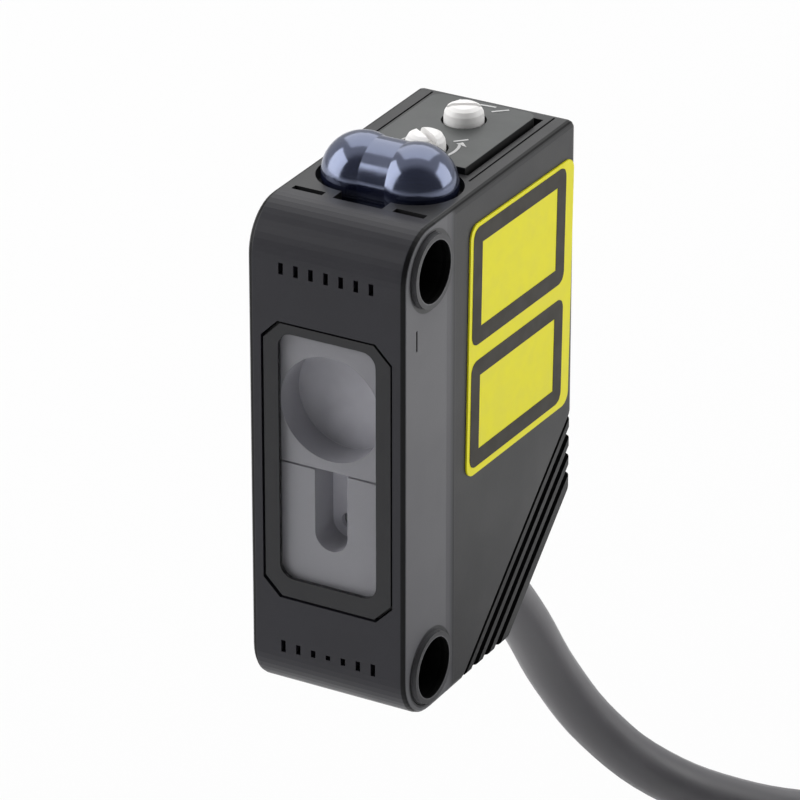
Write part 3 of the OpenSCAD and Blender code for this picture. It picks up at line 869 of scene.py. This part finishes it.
class SENSOR_OT_inner(bpy.types.Operator):
    """Finishes what the housing holds"""

    bl_idname = "sensor.inner"
    bl_label = "Inner parts"

    def execute(self, context):
        give(circuit_board("circuit board"), "sensor_board", "main_board", "control_board")
        give(
            smooth("chip plastic", (0.015, 0.015, 0.016), 0.5),
            "receiver_chip", "board_link", "signal_ic", "output_ic", "selector_body",
        )
        give(smooth("capacitor plastic", (0.5, 0.25, 0.04), 0.45), "capacitor")
        give(smooth("trimmer plastic", (0.02, 0.05, 0.25), 0.35), "trimmer_body")
        give(smooth("rotor plastic", (0.75, 0.75, 0.72), 0.35), "trimmer_rotor", "selector_rotor")
        give(metal("tinned sheet", (0.6, 0.6, 0.6), 0.3), "shield_can")
        give(metal("gold plating", (0.8, 0.6, 0.25), 0.3), "laser_diode")
        for colour, tint in CORE_TINTS.items():
            give(smooth(f"{colour} lead vinyl", tint, 0.4), f"lead_{colour}")
        return {"FINISHED"}


class SENSOR_OT_stage(bpy.types.Operator):
    """Sets the floor, the surroundings and the lamps"""

    bl_idname = "sensor.stage"
    bl_label = "Stage"

    def execute(self, context):
        self.lay_floor()
        self.light_surroundings(context.scene)
        settings = stage_settings()
        self.add_lamp("side lamp", (0.4, 0.25, 0.17), 0.36, settings.side_light)
        self.add_lamp("top lamp", (-0.16, 0.34, 0.5), 0.7, settings.top_light)
        self.add_lamp("left lamp", (-0.44, -0.24, 0.2), 0.5, settings.left_light)
        context.scene.view_settings.view_transform = "Standard"
        return {"FINISHED"}

    def lay_floor(self):
        """Pale paper that the camera sees as nearly white, with the object's shadow on it."""
        paper_white = 0.965
        glow_share = 0.88
        clear_selection()
        bpy.ops.mesh.primitive_plane_add(size=6, location=(0, 0, FLOOR_Z - 0.0002))
        floor = name_piece("floor")
        finish = Finish("floor paper")
        finish.set(Base_Color=(0.9, 0.9, 0.9), Roughness=0.9)
        glow = finish.nodes.new("ShaderNodeEmission")
        glow.inputs["Strength"].default_value = paper_white
        path = finish.nodes.new("ShaderNodeLightPath")
        seen = finish.calc(
            "MAXIMUM", path.outputs["Is Camera Ray"], path.outputs["Is Transmission Ray"])
        mix = finish.nodes.new("ShaderNodeMixShader")
        finish.feed(finish.calc("MULTIPLY", seen, glow_share), mix.inputs["Fac"])
        finish.links.new(finish.shader.outputs["BSDF"], mix.inputs[1])
        finish.links.new(glow.outputs["Emission"], mix.inputs[2])
        finish.links.new(mix.outputs["Shader"], finish.nodes["Material Output"].inputs["Surface"])
        floor.data.materials.append(finish.material)

    def light_surroundings(self, scene):
        """Even light that is bright behind and at the left, and dim before and at the right."""
        world = bpy.data.worlds.new("surroundings")
        scene.world = world
        world.use_nodes = True
        nodes, links = world.node_tree.nodes, world.node_tree.links
        heading = nodes.new("ShaderNodeTexCoord")
        turn = nodes.new("ShaderNodeVectorMath")
        turn.operation = "DOT_PRODUCT"
        links.new(heading.outputs["Generated"], turn.inputs[0])
        turn.inputs[1].default_value = (-0.45, 0.85, 0.1)
        level = nodes.new("ShaderNodeMapRange")
        level.interpolation_type = "SMOOTHSTEP"
        level.inputs["From Min"].default_value = -0.4
        level.inputs["From Max"].default_value = 0.0
        level.inputs["To Min"].default_value = stage_settings().dim
        level.inputs["To Max"].default_value = stage_settings().world
        links.new(turn.outputs["Value"], level.inputs["Value"])
        light = nodes["Background"]
        links.new(level.outputs["Result"], light.inputs["Strength"])
        light.inputs["Color"].default_value = (1, 1, 1, 1)
        seen = nodes.new("ShaderNodeBackground")
        seen.inputs["Strength"].default_value = 1.0
        seen.inputs["Color"].default_value = (1, 1, 1, 1)
        path = nodes.new("ShaderNodeLightPath")
        mix = nodes.new("ShaderNodeMixShader")
        links.new(path.outputs["Is Camera Ray"], mix.inputs["Fac"])
        links.new(light.outputs["Background"], mix.inputs[1])
        links.new(seen.outputs["Background"], mix.inputs[2])
        links.new(mix.outputs["Shader"], nodes["World Output"].inputs["Surface"])

    def add_lamp(self, name, place, size, power):
        """Square lamp that looks at the origin."""
        data = bpy.data.lights.new(name, "AREA")
        data.size = size
        data.energy = power
        lamp = bpy.data.objects.new(name, data)
        bpy.context.scene.collection.objects.link(lamp)
        lamp.location = place
        lamp.rotation_euler = (-Vector(place)).to_track_quat("-Z", "Y").to_euler()


class SENSOR_PT_sidebar(bpy.types.Panel):
    """Lists the steps and their settings"""

    bl_idname = "SENSOR_PT_sidebar"
    bl_label = "Photoelectric sensor"
    bl_space_type = "VIEW_3D"
    bl_region_type = "UI"
    bl_category = "Sensor"

    def draw(self, context):
        """Draws a button for each step and a box for each group of settings."""
        for step in STEPS:
            self.layout.operator(step.bl_idname)
        for group in (colours(), sizes(), stage_settings()):
            box = self.layout.box()
            for name in group.__annotations__:
                box.prop(group, name)


STEPS = (
    SENSOR_OT_camera,
    SENSOR_OT_cable,
    SENSOR_OT_housing,
    SENSOR_OT_window,
    SENSOR_OT_controls,
    SENSOR_OT_label,
    SENSOR_OT_inner,
    SENSOR_OT_stage,
)
CLASSES = (SensorColours, SensorSizes, SensorStage, *STEPS, SENSOR_PT_sidebar)


def register():
    """Adds the settings, the steps and the panel."""
    for cls in CLASSES:
        bpy.utils.register_class(cls)
    bpy.types.Scene.sensor_colours = PointerProperty(type=SensorColours)
    bpy.types.Scene.sensor_sizes = PointerProperty(type=SensorSizes)
    bpy.types.Scene.sensor_stage = PointerProperty(type=SensorStage)


def unregister():
    """Takes them away again."""
    del bpy.types.Scene.sensor_stage
    del bpy.types.Scene.sensor_sizes
    del bpy.types.Scene.sensor_colours
    for cls in reversed(CLASSES):
        bpy.utils.unregister_class(cls)


def main():
    """Runs the steps in order."""
    register()
    for step in STEPS:
        group, name = step.bl_idname.split(".")
        getattr(getattr(bpy.ops, group), name)()


if __name__ == "__main__":
    main()
